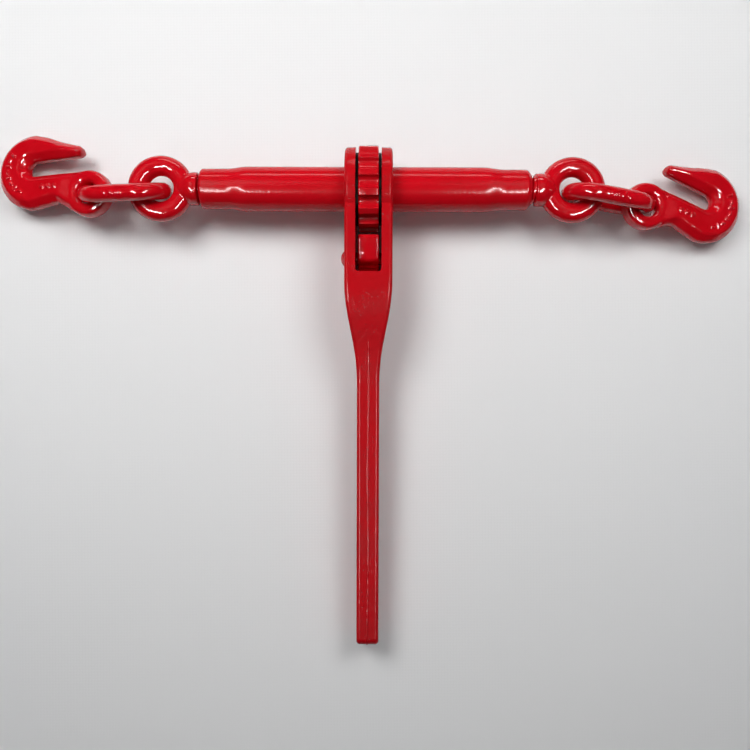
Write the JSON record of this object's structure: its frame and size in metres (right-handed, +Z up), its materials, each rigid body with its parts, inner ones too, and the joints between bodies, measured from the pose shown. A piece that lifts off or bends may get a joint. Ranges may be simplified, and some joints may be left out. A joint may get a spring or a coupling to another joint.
{
  "type": "ratchet load binder",
  "caption": "Ratchet load binder: a threaded barrel turned by a forked ratchet handle draws in two eye bolts, each carrying a link and a grab hook.",
  "frame": {"origin": "middle of the footprint, on the surface that the binder lies on", "axes": "+X to the right along the barrel, +Y ahead of the barrel, away from the handle, +Z up"},
  "size_m": [0.5846, 0.3953, 0.0648],
  "materials": {
    "barrel_enamel": "glossy red enamel over forged or drawn steel",
    "gear_enamel": "glossy red enamel over forged or drawn steel",
    "handle_enamel": "glossy red enamel over forged or drawn steel",
    "pawl_enamel": "glossy red enamel over forged or drawn steel",
    "pin_enamel": "glossy red enamel over forged or drawn steel",
    "bolt_enamel": "glossy red enamel over forged or drawn steel",
    "link_enamel": "glossy red enamel over forged or drawn steel",
    "hook_enamel": "glossy red enamel over forged or drawn steel",
    "pin_steel": "oiled steel",
    "washer_steel": "dark greased steel",
    "plunger_steel": "ground steel",
    "spring_steel": "oiled spring wire"
  },
  "bodies": {
    "thrust_washers": {"left_thrust_washer": "washer_steel", "right_thrust_washer": "washer_steel"},
    "barrel": {"barrel": "barrel_enamel", "ratchet_gear": "gear_enamel", "gear_lock_pin": "pin_steel"},
    "handle": {"handle": "handle_enamel", "pawl_pin": "pin_enamel", "pawl_spring": "spring_steel"},
    "pawl": {"pawl": "pawl_enamel"},
    "plunger": {"pawl_plunger": "plunger_steel"},
    "left_eye_bolt": {"left_eye_bolt": "bolt_enamel", "left_stop_pin": "pin_steel"},
    "right_eye_bolt": {"right_eye_bolt": "bolt_enamel", "right_stop_pin": "pin_steel"},
    "left_link": {"left_link": "link_enamel"},
    "right_link": {"right_link": "link_enamel"},
    "left_hook": {"left_hook": "hook_enamel"},
    "right_hook": {"right_hook": "hook_enamel"}
  },
  "joints": [
    {"name": "handle_swing", "type": "hinge", "parent": "thrust_washers", "child": "handle", "pos_m": [0, 0.151, 0.0325], "axis": [1, 0, 0], "range_deg": [-180, 180]},
    {"name": "barrel_spin", "type": "hinge", "parent": "thrust_washers", "child": "barrel", "pos_m": [0, 0.151, 0.0325], "axis": [-1, 0, 0], "range_deg": [-77.14, 4320]},
    {"name": "pawl_pivot", "type": "hinge", "parent": "handle", "child": "pawl", "pos_m": [0, 0.09857, 0.02987], "axis": [1, 0, 0], "range_deg": [-32, 32]},
    {"name": "plunger_slide", "type": "slide", "parent": "handle", "child": "plunger", "axis": [0, -0.9987, -0.0501], "range_m": [0, 0.0025], "stiffness_N_per_m": 2500, "springref_m": -0.003, "deforming": ["pawl_spring"]},
    {"name": "left_screw_travel", "type": "slide", "parent": "thrust_washers", "child": "left_eye_bolt", "axis": [-1, 0, 0], "range_m": [-0.0014, 0.0763]},
    {"name": "left_link_swing", "type": "hinge", "parent": "left_eye_bolt", "child": "left_link", "pos_m": [-0.1759, 0.1486, 0.0325], "axis": [-0.0441, 0.9703, 0.2379], "range_deg": [-80, 100]},
    {"name": "left_hook_swing", "type": "hinge", "parent": "left_link", "child": "left_hook", "pos_m": [-0.2151, 0.1484, 0.0251], "axis": [-0.1812, 0.1045, 0.9779], "range_deg": [-60, 90]},
    {"name": "right_screw_travel", "type": "slide", "parent": "thrust_washers", "child": "right_eye_bolt", "axis": [1, 0, 0], "range_m": [-0.0014, 0.0763]},
    {"name": "right_link_swing", "type": "hinge", "parent": "right_eye_bolt", "child": "right_link", "pos_m": [0.17234, 0.14622, 0.0325], "axis": [-0.1398, -0.9888, -0.0515], "range_deg": [-80, 100]},
    {"name": "right_hook_swing", "type": "hinge", "parent": "right_link", "child": "right_hook", "pos_m": [0.2129, 0.1402, 0.0251], "axis": [0.205, 0.042, 0.9779], "range_deg": [-90, 60]}
  ],
  "couplings": [
    {"joint": "left_screw_travel", "follows": "barrel_spin", "m_per_rad": 0.0010106},
    {"joint": "right_screw_travel", "follows": "barrel_spin", "m_per_rad": 0.0010106}
  ]
}
